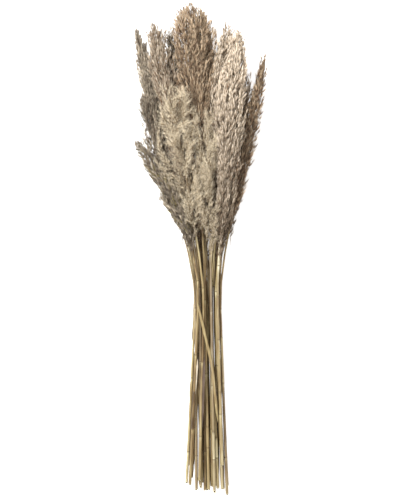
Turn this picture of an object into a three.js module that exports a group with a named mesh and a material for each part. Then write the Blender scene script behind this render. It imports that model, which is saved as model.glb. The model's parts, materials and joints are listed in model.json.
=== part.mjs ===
// A bundle of dried reed plumes, sold as pampas grass, lying on its side.
//
// Twenty cut reeds, each a hollow jointed culm with one feathery plume, and three
// dried leaf straps that were left among the culms. Nothing ties them: the culms
// cross where the bundle is tightest and fan out from there both ways.
//
// Millimetres. +Y runs along the bundle, from the cut ends to the plumes, +Z is up
// and z = 0 is the surface that the bundle lies on. The origin is on that surface,
// under the middle of the bundle.
import * as THREE from 'three';

// ---- overall sizes ----
const BUNDLE_LENGTH = 1000;   // longest culm's cut end to the highest plume's tip
const HEAD_WIDTH = 264;       // across the tips of the two outermost plumes
const WAIST_FROM_FOOT = 432;  // from the lowest cut end to where the bundle is tightest
const HEAD_OFFSET = -15;      // the head's middle, from the culms' middle

// ---- one culm ----
const STEM_DIAMETER = 6;      // at the cut end
const NECK_DIAMETER = 3.4;    // where the plume begins
const JOINT_SWELL = 1.12;     // a joint, against the culm beside it
const JOINT_LENGTH = 5;
const JOINT_SPACING = 152;
const FIRST_JOINT = 62;       // shortest distance from a cut end to its first joint
const JOINT_STAGGER = 62;     // how much that distance varies from culm to culm
const GOLDEN = 0.618;         // spreads that variation evenly over the culms
const BORE_DIAMETER = 3.6;    // the hollow seen in the cut end
const BORE_DEPTH = 30;

// ---- how the pieces are packed ----
const CLEARANCE = 0.35;       // between pieces that touch
const FOOT_SPARE = 0.6;       // extra room from culm to culm at the cut ends
const WAIST_SPARE = 3.4;      // extra room from culm to culm across the waist
const WAIST_LIFT = 19;        // height of the lowest culm's middle at the waist
const PLUME_LAYER = 32;       // height of one layer of plumes where the head is fullest
const PLUME_DEPTH = 20;       // half the thickness of a plume with free room above it
const FLATTENING = 1.45;      // how much the lowest plumes are pressed out on the surface
const BEND_LENGTH = 55;       // over which a culm bends as it passes the waist
const FOOT_ROLL = 0.13;       // sideways tilt of the layers at the cut ends, as a slope
const WAIST_ROLL = -0.1;      // and at the waist; the head's layers lie level

// ---- facets ----
const STEM_SIDES = 7;
const PLUME_SIDES = 10;
const STEM_STEP = 60;         // longest straight stretch of a culm above the waist
const PLUME_STEP = 25;        // from section to section of a plume

const FOOT_Y = 0;
const WAIST_Y = FOOT_Y + WAIST_FROM_FOOT;
const TOP_Y = FOOT_Y + BUNDLE_LENGTH;
const FAN_LENGTH = TOP_Y - WAIST_Y;

const culmRadius = STEM_DIAMETER / 2;
const neckRadius = NECK_DIAMETER / 2;
const culmRoom = STEM_DIAMETER * JOINT_SWELL + CLEARANCE;
const footPitch = culmRoom + FOOT_SPARE;
const waistPitch = culmRoom + WAIST_SPARE;
const { lerp, clamp, smoothstep } = THREE.MathUtils;

// ---- finishes ----
const finish = (color, roughness) => new THREE.MeshStandardMaterial({ color, roughness, metalness: 0 });
const FINISHES = {
  culm: finish(0xa8956c, 0.6),
  leaf: finish(0x8f8575, 0.85),
  cream: finish(0xb5a284, 0.95),
  light: finish(0xb9a88a, 0.95),
  warm: finish(0x917e66, 0.95),
  grey: finish(0x968876, 0.95),
};

// ---- the reeds, in layers from the surface up, and from -X to +X in each layer ----
// foot and waist: place across the bundle, counted in culms from its middle.
// cut: cut end above the lowest one. tip: across, as a share of half the head's width,
// and down from the top. plume: its length. half: half its width. round: 0 for a
// pointed plume to 1 for a blunt one. lean: 1 for a straight reed, more for one that
// only bends over near its tip.
const reed = (foot, cut, waist, tip, plume, half, tone, { round = 0.3, lean = 1.1, rise = 0.9 } = {}) =>
  ({ foot, cut, waist, tip, plume, half, tone, round, lean, rise });

const LAYERS = [
  [
    reed(-1.3, 22, -1.8, [-0.93, 97], 340, 23, 'grey'),
    reed(0.0, 6, -0.8, [-0.5, 108], 390, 36, 'warm', { round: 0.6 }),
    reed(2.2, 14, 0.2, [-0.07, 52], 440, 36, 'warm', { round: 0.5 }),
    reed(4.4, 9, 1.2, [0.33, 76], 430, 36, 'light', { round: 0.5 }),
    reed(5.5, 16, 2.2, [0.66, 170], 340, 28, 'grey', { round: 0.5 }),
  ],
  [
    reed(-5.7, 21, -2.15, [-1, 45], 360, 21, 'grey', { round: 0.1 }),
    reed(-4.4, 33, -1.3, [-0.47, 43], 400, 26, 'grey'),
    reed(-0.6, 7, -0.3, [0.04, 14], 440, 36, 'light', { round: 0.4 }),
    reed(1.2, 15, 0.7, [0.65, 96], 380, 28, 'warm'),
    reed(2.3, 18, 1.7, [0.76, 140], 350, 26, 'light'),
  ],
  [
    reed(-2.9, 8, -2.3, [-0.85, 183], 275, 25, 'grey', { round: 0.9 }),
    reed(-1.8, 12, -1.4, [-0.72, 40], 380, 30, 'light', { round: 0.5 }),
    reed(0.4, 10, -0.5, [-0.12, 0], 430, 46, 'warm', { round: 1.4 }),
    reed(2.9, 13, 0.5, [0.41, 41], 400, 30, 'light'),
    reed(4.1, 12, 1.5, [0.6, 238], 270, 26, 'light', { round: 0.6 }),
    reed(5.3, 0, 2.4, [1, 104], 340, 16, 'warm', { round: 0.1 }),
  ],
  [
    reed(-4.8, 20, -1.6, [-0.97, 278], 215, 18, 'grey', { lean: 1.7 }),
    reed(-2.2, 29, -0.6, [-0.44, 168], 300, 50, 'cream', { round: 0.8, lean: 1, rise: 1.25 }),
    reed(1.9, 5, 0.7, [0.1, 216], 290, 37, 'cream', { round: 0.8, rise: 1.15 }),
    reed(4.2, 60, 1.9, [0.57, 59], 420, 34, 'light', { round: 0.5, rise: 1.05 }),
  ],
];

// ---- where each reed runs ----
// Below the waist a reed is straight. Above it, it leans out to its tip. Reeds of one
// layer keep their order, and the layers keep theirs, so no two reeds meet.
const fan = (y) => Math.max(0, (y - WAIST_Y) / FAN_LENGTH);
const belowWaist = (y) => (y - FOOT_Y) / WAIST_FROM_FOOT;

const bent = (path) => (y) => (path(y - BEND_LENGTH) + 2 * path(y) + path(y + BEND_LENGTH)) / 4;

function acrossPath(r) {
  const footX = r.foot * footPitch;
  const waistX = r.waist * waistPitch;
  const tipX = HEAD_OFFSET + r.tip[0] * HEAD_WIDTH / 2;
  const tipFan = fan(TOP_Y - r.tip[1]);
  return bent((y) => (y < WAIST_Y
    ? lerp(footX, waistX, belowWaist(y))
    : lerp(waistX, tipX, (fan(y) / tipFan) ** r.lean)));
}

const roll = (y) => (y < WAIST_Y
  ? lerp(FOOT_ROLL, WAIST_ROLL, belowWaist(y))
  : WAIST_ROLL * (1 - smoothstep(fan(y), 0, 0.35)));

const reeds = LAYERS.flatMap((layer, level) => layer.map((r, place) => ({
  ...r, level, place, layer, across: acrossPath(r), cutY: FOOT_Y + r.cut, tipY: TOP_Y - r.tip[1],
})));
const lowestCorner = Math.min(...reeds.map((r) => FOOT_ROLL * r.across(r.cutY)));
const footLift = culmRadius * JOINT_SWELL - lowestCorner;

// The layers' middles: close together at the cut ends, closest at the waist, and
// opening steadily into the head, where the plumes fill one thick layer each.
const headRise = (u) => 1.6 * u - 0.6 * u * u;
const layerHeight = (level) => bent((y) => (y < WAIST_Y
  ? lerp(footLift + level * footPitch, WAIST_LIFT + level * culmRoom, belowWaist(y))
  : lerp(WAIST_LIFT + level * culmRoom, (level + 0.5) * PLUME_LAYER, headRise(fan(y)))));
const heights = LAYERS.map((_, level) => layerHeight(level));
const heightAt = (level, x, y) => heights[level](y) + roll(y) * x;

// ---- one culm: hollow at the cut end, swollen at each joint, thinner to the neck ----
const neckY = (r) => r.tipY - r.plume;
const taperRadius = (r, y) => lerp(culmRadius, neckRadius, clamp((y - r.cutY) / (neckY(r) - r.cutY), 0, 1));
const firmRadius = (r, y) => taperRadius(r, y) * JOINT_SWELL;

function jointHeights(r, index) {
  const first = r.cutY + FIRST_JOINT + JOINT_STAGGER * ((index * GOLDEN) % 1);
  const found = [];
  for (let y = first; y < neckY(r) - JOINT_SPACING / 4; y += JOINT_SPACING) found.push(y);
  return found;
}

function culmProfile(r, index) {
  const top = neckY(r) - CLEARANCE;
  const joints = jointHeights(r, index);
  const rings = joints.flatMap((y) => [
    [taperRadius(r, y), y - JOINT_LENGTH / 2],
    [firmRadius(r, y), y],
    [taperRadius(r, y), y + JOINT_LENGTH / 2],
  ]);
  for (let y = WAIST_Y - BEND_LENGTH; y < top - STEM_STEP / 4; y += STEM_STEP) {
    if (joints.every((joint) => Math.abs(joint - y) > STEM_STEP / 4)) rings.push([taperRadius(r, y), y]);
  }
  rings.sort((a, b) => a[1] - b[1]);
  const bore = BORE_DIAMETER / 2;
  const outline = [
    [0, r.cutY + BORE_DEPTH], [bore, r.cutY + BORE_DEPTH], [bore, r.cutY],
    [culmRadius, r.cutY], ...rings, [neckRadius, top], [0, top],
  ];
  return outline.map(([radius, y]) => new THREE.Vector2(radius, y));
}

function layCulm(r, index) {
  const geometry = new THREE.LatheGeometry(culmProfile(r, index), STEM_SIDES);
  const at = geometry.attributes.position;
  for (let i = 0; i < at.count; i += 1) {
    const y = at.getY(i);
    const x = r.across(y);
    at.setXYZ(i, x + at.getX(i), y, heightAt(r.level, x, y) + at.getZ(i));
  }
  return geometry;
}

// ---- one plume: a spindle that swells into the room its neighbours leave ----
function spindle(r, y) {
  const t = clamp((y - neckY(r)) / r.plume, 0, 1);
  const fullest = 0.42;
  const base = Math.sin(Math.min(1, t / fullest) * Math.PI / 2) ** 0.8;
  const tip = t < fullest ? 1 : (1 - ((t - fullest) / (1 - fullest)) ** (1.3 + 2 * r.round)) ** 0.85;
  return base * tip;
}
const wantedHalf = (r, y, full) => {
  const firm = firmRadius(r, y);
  return y > neckY(r) && y < r.tipY ? firm + (full - firm) * spindle(r, y) : firm;
};

// How far a reed may reach towards its neighbour: both keep their firm culm, and share
// the rest of the room by how much each wants.
function reach(r, other, y, room) {
  const wanted = wantedHalf(r, y, r.half);
  if (!other) return wanted;
  const firm = firmRadius(r, y);
  const otherFirm = firmRadius(other, y);
  const soft = wanted - firm;
  const otherSoft = wantedHalf(other, y, other.half) - otherFirm;
  const spare = Math.max(0, room - CLEARANCE - firm - otherFirm);
  return firm + Math.min(soft, spare * soft / Math.max(soft + otherSoft, 1e-6));
}

function plumeSection(r, y) {
  const x = r.across(y);
  const layerReeds = reeds.filter((other) => other.level === r.level);
  const left = layerReeds[r.place - 1];
  const right = layerReeds[r.place + 1];
  const z = heightAt(r.level, x, y);
  const depth = wantedHalf(r, y, PLUME_DEPTH);
  const above = r.level < LAYERS.length - 1
    ? (heights[r.level + 1](y) - heights[r.level](y) - CLEARANCE) / 2 : depth * r.rise;
  const below = r.level > 0
    ? (heights[r.level](y) - heights[r.level - 1](y) - CLEARANCE) / 2 : depth * FLATTENING;
  return {
    x, z,
    left: reach(r, left, y, left ? x - left.across(y) : 0),
    right: reach(r, right, y, right ? right.across(y) - x : 0),
    above: Math.min(depth * r.rise, above),
    below: r.level > 0 ? Math.min(depth, below) : below,
  };
}

function layPlume(r) {
  const start = neckY(r);
  const stations = [];
  for (let y = Math.ceil(start / PLUME_STEP) * PLUME_STEP; y < r.tipY; y += PLUME_STEP) {
    if (y - start > PLUME_STEP / 3 && r.tipY - y > PLUME_STEP / 5) stations.push(y);
  }
  const profile = [[0, start], [neckRadius, start], ...stations.map((y) => [1, y]), [0, r.tipY]];
  const geometry = new THREE.LatheGeometry(profile.map(([a, b]) => new THREE.Vector2(a, b)), PLUME_SIDES);
  const at = geometry.attributes.position;
  for (let i = 0; i < at.count; i += 1) {
    const y = at.getY(i);
    const radius = Math.hypot(at.getX(i), at.getZ(i));
    const section = plumeSection(r, y);
    if (radius < 1e-6) {
      at.setXYZ(i, section.x, y, section.z);
    } else {
      const sideways = at.getX(i) / radius;
      const upwards = at.getZ(i) / radius;
      const x = section.x + sideways * (sideways < 0 ? section.left : section.right);
      const z = section.z + upwards * (upwards < 0 ? section.below : section.above);
      at.setXYZ(i, x, y, Math.max(0, z));
    }
  }
  return geometry;
}

// ---- dried leaf straps, each lying on one of the topmost culms ----
// on: that culm, counted from 0. from: height above the lowest cut end. side: how far
// beside the culm's middle the low end lies, and drift: how far it has moved at the top.
const LEAVES = [
  { on: 17, from: 138, length: 148, side: 3, drift: 0.5, width: 6, narrow: 0.55 },
  { on: 18, from: 209, length: 81, side: 7, drift: -13, width: 6.6, narrow: 0.2 },
  { on: 16, from: 209, length: 71, side: 3, drift: 1, width: 4.2, narrow: 0.3 },
];
const LEAF_THICKNESS = 0.5;
const LEAF_CURL = 0.8;        // how far the edges stand above the middle
const LEAF_STRIPS = 4;        // facets across
const LEAF_SECTIONS = 8;      // facets along

function layLeaf(leaf) {
  const geometry = new THREE.BoxGeometry(1, leaf.length, LEAF_THICKNESS, LEAF_STRIPS, LEAF_SECTIONS, 1);
  const culm = reeds[leaf.on];
  const at = geometry.attributes.position;
  for (let i = 0; i < at.count; i += 1) {
    const along = at.getY(i) / leaf.length + 0.5;
    const edge = at.getX(i) * 2;
    const y = FOOT_Y + leaf.from + along * leaf.length;
    const culmX = culm.across(y);
    const half = leaf.width / 2 * lerp(leaf.narrow, 1, along);
    const rest = heightAt(culm.level, culmX, y) + firmRadius(culm, y) + CLEARANCE + LEAF_THICKNESS / 2;
    const x = culmX + leaf.side + leaf.drift * along + edge * half;
    at.setXYZ(i, x, y, rest + LEAF_CURL * edge * edge + at.getZ(i));
  }
  return geometry;
}

// ---- the bundle ----
const bundle = new THREE.Group();

function addPiece(name, geometry, tone) {
  const piece = new THREE.Mesh(geometry, FINISHES[tone]);
  piece.name = name;
  bundle.add(piece);
}

const numbered = (word, index) => `${word}_${String(index + 1).padStart(2, '0')}`;
reeds.forEach((r, index) => {
  addPiece(numbered('stem', index), layCulm(r, index), 'culm');
  addPiece(numbered('plume', index), layPlume(r), r.tone);
});
LEAVES.forEach((leaf, index) => addPiece(numbered('leaf', index), layLeaf(leaf), 'leaf'));

const middle = new THREE.Box3().setFromObject(bundle).getCenter(new THREE.Vector3());
bundle.position.set(-middle.x, -middle.y, 0);

export default bundle;
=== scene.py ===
# %% [markdown]
# # A bundle of dried reed plumes, lying on a table
#
# Twenty cut reeds make the bundle: hollow, jointed straws, each with one feathery plume, and nothing ties
# them. The CAD model holds where every culm, plume and leaf strap lies and how much room it has. This
# script grows the real surface inside that room: dozens of branches in every plume, spikelets by the
# thousand, and straws with joints, sleeves and cut ends. The frame is loaded first, because most sizes
# are read from it.

# %% Load the frame
import json
import math
import bpy
import numpy as np
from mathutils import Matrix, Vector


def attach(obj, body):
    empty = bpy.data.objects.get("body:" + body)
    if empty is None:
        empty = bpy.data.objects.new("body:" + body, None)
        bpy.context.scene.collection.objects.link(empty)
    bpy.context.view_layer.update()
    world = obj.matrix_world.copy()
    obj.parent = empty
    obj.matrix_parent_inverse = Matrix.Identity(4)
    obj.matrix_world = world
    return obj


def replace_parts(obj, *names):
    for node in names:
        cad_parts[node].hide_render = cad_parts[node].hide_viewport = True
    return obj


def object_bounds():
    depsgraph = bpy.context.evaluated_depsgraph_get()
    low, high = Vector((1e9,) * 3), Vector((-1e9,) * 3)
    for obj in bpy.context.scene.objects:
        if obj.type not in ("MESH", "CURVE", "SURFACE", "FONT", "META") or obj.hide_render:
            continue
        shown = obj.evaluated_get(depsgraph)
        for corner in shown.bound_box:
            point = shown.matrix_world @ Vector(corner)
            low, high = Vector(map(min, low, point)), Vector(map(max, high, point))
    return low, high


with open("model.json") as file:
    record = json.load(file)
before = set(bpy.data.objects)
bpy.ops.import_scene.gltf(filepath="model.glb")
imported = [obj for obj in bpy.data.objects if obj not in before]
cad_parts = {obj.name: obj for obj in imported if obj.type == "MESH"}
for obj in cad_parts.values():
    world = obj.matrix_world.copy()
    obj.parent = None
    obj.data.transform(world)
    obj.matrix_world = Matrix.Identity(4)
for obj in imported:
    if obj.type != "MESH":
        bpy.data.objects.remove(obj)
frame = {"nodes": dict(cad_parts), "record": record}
cad_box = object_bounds()
cad_high = np.array(cad_box[1])
print("CAD box, mm:", (1000 * np.array(cad_box)).round(1))

MM = 0.001

# %% [markdown]
# ## Camera
#
# The bundle lies down and the camera hangs straight above it, with +Y at the top. A wide lens close by
# would bend the culms outwards, and a long one far away keeps them straight. Two helpers come first, for
# everything that is put in the scene and for every mesh that is written point by point.

# %% Camera
LENS_MM = 100
SENSOR_MM = 36
VIEW_HEIGHT = 1.014  # what the camera takes in along Y, at the height of the bundle's middle
MIDDLE_HEIGHT = 0.06
AIM_Y = 0.0033
SEES_UP_TO = 20


def put_in_scene(name, data):
    """Makes an object of a mesh, a light or a camera, and shows it."""
    made = bpy.data.objects.new(name, data)
    bpy.context.scene.collection.objects.link(made)
    return made


def new_mesh(name, points, edges, faces, values):
    """A mesh with a list of named values, one for each point."""
    mesh = bpy.data.meshes.new(name)
    mesh.from_pydata([tuple(p) for p in points], edges, faces)
    for key, column in values.items():
        mesh.attributes.new(key, "FLOAT", "POINT").data.foreach_set("value", column)
    return mesh


camera_data = bpy.data.cameras.new("camera")
camera_data.lens = LENS_MM
camera_data.sensor_width = SENSOR_MM
camera_data.clip_end = SEES_UP_TO
camera = put_in_scene("camera", camera_data)
camera.location = (0, AIM_Y, MIDDLE_HEIGHT + VIEW_HEIGHT * LENS_MM / SENSOR_MM)
bpy.context.scene.camera = camera
bpy.context.scene.view_settings.view_transform = "Standard"
print("camera height, m:", round(camera.location.z, 3))

# %% [markdown]
# ## Light
#
# A pale dome lights the bundle from everywhere, as a light tent does, and one soft panel above the plumes
# gives that light a direction. A small lamp would draw hard shadows over them, and the dome alone would
# leave them flat.

# %% Light
PANEL_SIZE = 0.6
PANEL_WATTS = 105
PANEL_PLACE = (-1.2, 1.2, 1.9)
LIT_POINT = (0, 0.1, 0)

world = bpy.data.worlds.new("pale room")
bpy.context.scene.world = world
world.use_nodes = True
sky = world.node_tree.nodes["Background"]
sky.inputs["Color"].default_value = (1.0, 0.99, 0.975, 1)
sky.inputs["Strength"].default_value = 1.0
panel_data = bpy.data.lights.new("key panel", "AREA")
panel_data.size = PANEL_SIZE
panel_data.energy = PANEL_WATTS
panel = put_in_scene("key panel", panel_data)
panel.location = PANEL_PLACE
away = panel.location - type(panel.location)(LIT_POINT)
panel.rotation_euler = away.to_track_quat("Z", "Y").to_euler()
print("key panel:", round(away.length, 2), "m from the bundle")

# %% [markdown]
# ## Helpers for finishes and trees
#
# What is the same all over a surface goes straight on its shader's sockets, and what changes from place
# to place comes through nodes. Geometry is dressed by nodes too. Writing out every node and wire would
# bury the idea, so a small class adds a node with its wires in one line.

# %% Helpers for finishes and trees
def wire(source, socket):
    """Feeds a socket from another one, or from a node's first output."""
    if isinstance(source, bpy.types.Node):
        source = next(s for s in source.outputs if s.enabled)
    socket.id_data.links.new(source, socket)


def srgb(r, g, b):
    """A colour read off a screen, 0 to 255, as the linear colour that a shader wants."""
    return tuple(((v / 255 + 0.055) / 1.055) ** 2.4 for v in (r, g, b)) + (1,)


class Tree:
    """A node tree. Each method adds a node and returns it."""

    def __init__(self, data):
        self.data = data

    def add(self, kind, wires=None, **settings):
        """Each wire is an input's name, or its number, with a value or what feeds it."""
        made = self.data.nodes.new(kind)
        for key, value in settings.items():
            setattr(made, key, value)
        usable = [socket for socket in made.inputs if socket.enabled]
        for key, value in (wires or {}).items():
            socket = usable[key] if isinstance(key, int) else next(s for s in usable if s.name == key)
            if isinstance(value, (bpy.types.Node, bpy.types.NodeSocket)):
                wire(value, socket)
            else:
                socket.default_value = value
        return made

    def math(self, operation, *values):
        return self.add("ShaderNodeMath", dict(enumerate(values)), operation=operation)

    def mix(self, factor, first, second):
        return self.add("ShaderNodeMix", {"Factor": factor, "A": first, "B": second}, data_type="RGBA")

    def ramp(self, value, stops):
        """Colours along a value. Each stop is a position and a colour read off a screen."""
        node = self.add("ShaderNodeValToRGB", {"Fac": value})
        ramp = node.color_ramp
        ramp.elements.remove(ramp.elements[-1])
        (ramp.elements[0].position, first), *others = stops
        ramp.elements[0].color = srgb(*first)
        for position, colour in others:
            ramp.elements.new(position).color = srgb(*colour)
        return node

    def carried(self, name):
        """In a finish: what a piece's own attribute says."""
        return self.add("ShaderNodeAttribute", attribute_name=name).outputs["Fac"]

    def field(self, name):
        """In a geometry tree: the same."""
        return self.add("GeometryNodeInputNamedAttribute", {"Name": name}, data_type="FLOAT").outputs[0]

    def store(self, geometry, name, value, domain="POINT", data_type="FLOAT", **more):
        wires = {"Geometry": geometry, "Name": name, "Value": value, **more}
        return self.add("GeometryNodeStoreNamedAttribute", wires, data_type=data_type, domain=domain)

    def chance(self, low, high, seed, extra):
        """A random number for each element, from the tree's seed and a number of its own."""
        own = self.math("ADD", seed, extra)
        return self.add("FunctionNodeRandomValue", {"Min": low, "Max": high, "Seed": own},
                        data_type="FLOAT")

    def turned(self, rotation, axis, angle):
        """A rotation turned further about one of its own axes."""
        euler = self.add("ShaderNodeCombineXYZ", {axis: angle})
        by = self.add("FunctionNodeEulerToRotation", {0: euler})
        return self.add("FunctionNodeRotateRotation", {"Rotation": rotation, "Rotate By": by},
                        rotation_space="LOCAL")


def new_finish(name, roughness, **sockets):
    """A Principled material: fixed values go straight on its sockets."""
    finish = bpy.data.materials.new(name)
    finish.use_nodes = True
    shader = finish.node_tree.nodes["Principled BSDF"]
    shader.inputs["Roughness"].default_value = roughness
    for socket, value in sockets.items():
        shader.inputs[socket.replace("_", " ")].default_value = value
    return finish, Tree(finish.node_tree), shader


def new_tree(title, inputs):
    """An empty geometry tree with these named inputs. Returns it, its inputs and its output node."""
    data = bpy.data.node_groups.new(title, "GeometryNodeTree")
    data.interface.new_socket("Geometry", in_out="INPUT", socket_type="NodeSocketGeometry")
    for label, kind in inputs.items():
        data.interface.new_socket(label, in_out="INPUT", socket_type="NodeSocket" + kind)
    data.interface.new_socket("Geometry", in_out="OUTPUT", socket_type="NodeSocketGeometry")
    entry = data.nodes.new("NodeGroupInput")
    return Tree(data), entry.outputs, data.nodes.new("NodeGroupOutput")


# %% [markdown]
# ## Floor
#
# A white studio table is lit until it goes white. Lamps that strong would bleach the reeds too, so the
# table glows a little of its own, and the bundle still throws a soft shadow on it.

# %% Floor
FLOOR_HALF = 4.0
FLOOR_WHITE = (0.93, 0.93, 0.93, 1)

table, tree, shader = new_finish("lit white table", 0.7, Base_Color=FLOOR_WHITE,
                                 Emission_Color=(1, 1, 1, 1), Emission_Strength=0.5)
corners = [(x * FLOOR_HALF, y * FLOOR_HALF, 0) for x, y in ((-1, -1), (1, -1), (1, 1), (-1, 1))]
floor_mesh = new_mesh("floor", corners, [], [(0, 1, 2, 3)], {})
floor_mesh.materials.append(table)
floor = put_in_scene("floor", floor_mesh)
print("floor:", 2 * FLOOR_HALF, "m square")

# %% [markdown]
# ## The room that the frame leaves for each plume
#
# The CAD solid of a plume is a stack of ten-cornered rings, so it says where the stalk runs and how far
# branches reach on every side. Read that way it is a map: a height, a turn around the stalk and a depth,
# 0 on the stalk and 1 on the skin, give one point. Branches drawn on that map follow the solid's shape,
# and only their loose ends leave it.

# %% Rings of a CAD solid
def points_of(mesh):
    """A mesh's points, as rows of x, y and z."""
    flat = np.empty(len(mesh.vertices) * 3, np.float32)
    mesh.vertices.foreach_get("co", flat)
    return flat.reshape(-1, 3)


def corners_by_height(node):
    """The corners of a CAD solid, grouped by their height along the bundle."""
    corners = np.unique(points_of(frame["nodes"][node].data).astype(float).round(5), axis=0)
    heights = corners[:, 1]
    return [(y, corners[heights == y][:, [0, 2]]) for y in np.unique(heights)]


# %% [markdown]
# ## Reading a plume's room
#
# Each ring gives the stalk's place, straight below its top corner and level with its widest ones, and its
# rim as steps out from the stalk. Points in between are blended. The skin's area is measured too, because
# a big plume gets more spikelets.

# %% Rooms of the plumes
RING_CORNERS = 10
LOOSE_END = 3.5 * MM  # how far the branches stand off the stalk at a plume's two ends


class Room:
    """A plume's room: its stalk, and its skin as corners around the stalk at each ring."""

    def __init__(self, node):
        self.ys, self.stalk, self.skin = [], [], []
        for y, corners in corners_by_height(node):
            if len(corners) >= RING_CORNERS:
                top = corners[corners[:, 1].argmax()]
                far = corners[np.argsort(-np.abs(corners[:, 0] - top[0]))[:4]]
                middle = np.array([top[0], far[:, 1].mean()])
                out = corners - middle
                rim = out[np.hypot(*out.T) > 0.5 * MM]
                rim = rim[np.argsort(np.arctan2(rim[:, 0], rim[:, 1]) % (2 * math.pi - 1e-3))]
            else:
                middle, rim = corners[0], 1e-6 * self.skin[-1]
            reach = np.hypot(*rim.T)[:, None]
            self.ys.append(y)
            self.stalk.append(middle)
            self.skin.append(rim / reach * np.maximum(reach, LOOSE_END))
        self.ys, self.stalk, self.skin = map(np.array, (self.ys, self.stalk, self.skin))
        wrapped = np.concatenate([self.skin, self.skin[:, :1]], axis=1)
        girths = np.hypot(*np.moveaxis(np.diff(wrapped, axis=1), 2, 0)).sum(1)
        self.base, self.tip = self.ys[0], self.ys[-1]
        self.length = self.tip - self.base
        bands = (girths[1:] + girths[:-1]) / 2 * np.diff(self.ys)
        self.area = float(bands.sum())
        self.covered = np.concatenate([[0], bands.cumsum()]) / self.area

    def place(self, y, turn, depth):
        """Points at these heights, turns around the stalk (0 is up, a quarter is +X) and depths."""
        y, turn, depth = np.broadcast_arrays(*(np.asarray(v, float) for v in (y, turn, depth)))
        k = np.clip(np.searchsorted(self.ys, y, "right") - 1, 0, len(self.ys) - 2)
        up = np.clip((y - self.ys[k]) / (self.ys[k + 1] - self.ys[k]), 0, 1)[..., None]
        around = (turn % 1) * RING_CORNERS
        i = around.astype(int) % RING_CORNERS
        share = (around - around.astype(int))[..., None]

        def rim(row):
            return self.skin[row, i] * (1 - share) + self.skin[row, (i + 1) % RING_CORNERS] * share

        flat = (1 - up) * self.stalk[k] + up * self.stalk[k + 1]
        flat = flat + depth[..., None] * ((1 - up) * rim(k) + up * rim(k + 1))
        return np.stack([flat[..., 0], y, flat[..., 1]], axis=-1)

    def height_below(self, share):
        """The height below which this share of the skin lies."""
        return np.interp(share, self.covered, self.ys)


rooms = {name: Room(name) for name in sorted(frame["nodes"]) if name.startswith("plume")}
for name, room in rooms.items():
    print(name, "length", round(room.length * 1000), "mm, skin", round(room.area * 1e4), "cm2")

# %% [markdown]
# ## Colour charts
#
# A dried spikelet is dark brown where it is held and bleaches to straw at its tips, with paler silky
# hairs, and no two have faded alike. All of that is one small colour chart: across it a spikelet's tone,
# from dark to bleached, and up it the place on the piece, first the scales, then the twigs, then the
# hairs. The piece's UV map lays every face on the chart, so the colours go with the mesh wherever it is
# taken.

# %% Colour charts
CHART = "OFBake"
SCALE_BAND = (0.03, 0.50)
TWIG_BAND = (0.56, 0.64)
HAIR_BAND = (0.70, 0.97)
BAND_GAP = 0.01
RUSTY_BELOW = 0.07  # tones under this are the few rust or olive spikelets
RUSTY_TONE = -3.0  # what such a spikelet's tone is set to, far below every other
RUSTY_SHARE = 0.6


def chart_stops(base, middle, tip, twig, hair_base, hair_tip):
    low, high = SCALE_BAND
    return [(low, base), (low + 0.45 * (high - low), middle), (high, tip), (TWIG_BAND[0] - BAND_GAP, twig),
            (TWIG_BAND[1] + BAND_GAP, twig), (HAIR_BAND[0], hair_base), (HAIR_BAND[1], hair_tip)]


def plume_finish(name, accent, dark, pale):
    finish, tree, shader = new_finish(name, 0.78, Sheen_Weight=0.12, Sheen_Roughness=0.45,
                                      Specular_IOR_Level=0.25)
    chart = tree.add("ShaderNodeUVMap", uv_map=CHART)
    parts = tree.add("ShaderNodeSeparateXYZ", {"Vector": chart})
    tone, place = parts.outputs["X"], parts.outputs["Y"]
    darkest, palest = (tree.ramp(place, chart_stops(*side)) for side in (dark, pale))
    faded = tree.mix(tone, darkest, palest)
    rusty = tree.add("ShaderNodeMapRange", {
        "Value": tone, "From Min": RUSTY_BELOW + 0.02, "From Max": RUSTY_BELOW, "To Min": 0,
        "To Max": RUSTY_SHARE})
    wire(tree.mix(rusty, faded, srgb(*accent)), shader.inputs["Base Color"])
    return finish


# %% [markdown]
# ## The four plume colours
#
# The reeds faded differently: warm brown, pale, grey and a silky cream. Each colour has its own chart,
# made of the darkest and the most bleached spikelet. A row gives a scale's base, middle and tip, the
# twig, and a hair's base and tip.

# %% Plume finishes
RUST, OLIVE = (122, 90, 64), (134, 122, 76)
plume_finishes = {
    "plume_warm": plume_finish(
        "warm brown plume", RUST,
        [(42, 27, 17), (74, 51, 34), (114, 88, 62), (94, 75, 55), (102, 83, 62), (138, 117, 92)],
        [(98, 73, 49), (178, 153, 123), (219, 198, 170), (154, 133, 104), (182, 162, 134),
         (222, 207, 183)]),
    "plume_light": plume_finish(
        "light plume", RUST,
        [(56, 40, 28), (96, 76, 56), (132, 113, 90), (110, 93, 70), (120, 104, 84), (154, 139, 118)],
        [(120, 98, 74), (204, 187, 164), (236, 223, 205), (170, 152, 126), (204, 190, 168),
         (236, 226, 210)]),
    "plume_grey": plume_finish(
        "grey plume", OLIVE,
        [(44, 34, 27), (76, 62, 50), (108, 95, 80), (90, 78, 64), (100, 90, 75), (132, 123, 106)],
        [(96, 80, 62), (172, 157, 134), (210, 197, 176), (150, 136, 114), (176, 164, 144),
         (212, 202, 184)]),
    "plume_cream": plume_finish(
        "cream plume", RUST,
        [(84, 66, 48), (128, 110, 86), (160, 144, 118), (128, 110, 84), (148, 132, 108), (178, 164, 140)],
        [(146, 126, 98), (196, 180, 152), (222, 208, 182), (168, 150, 122), (200, 186, 160),
         (226, 214, 190)]),
}
print(len(plume_finishes), "plume finishes")

# %% [markdown]
# ## Parts of a spikelet
#
# A reed spikelet is a short fan of narrow scales with silky hairs, about 15 mm long. It is repeated by
# the thousand, so a scale is only a spindle of six faces and a hair a needle of four. A flat card with a
# picture of one would be lighter still, but it looks wrong from the side.

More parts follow.
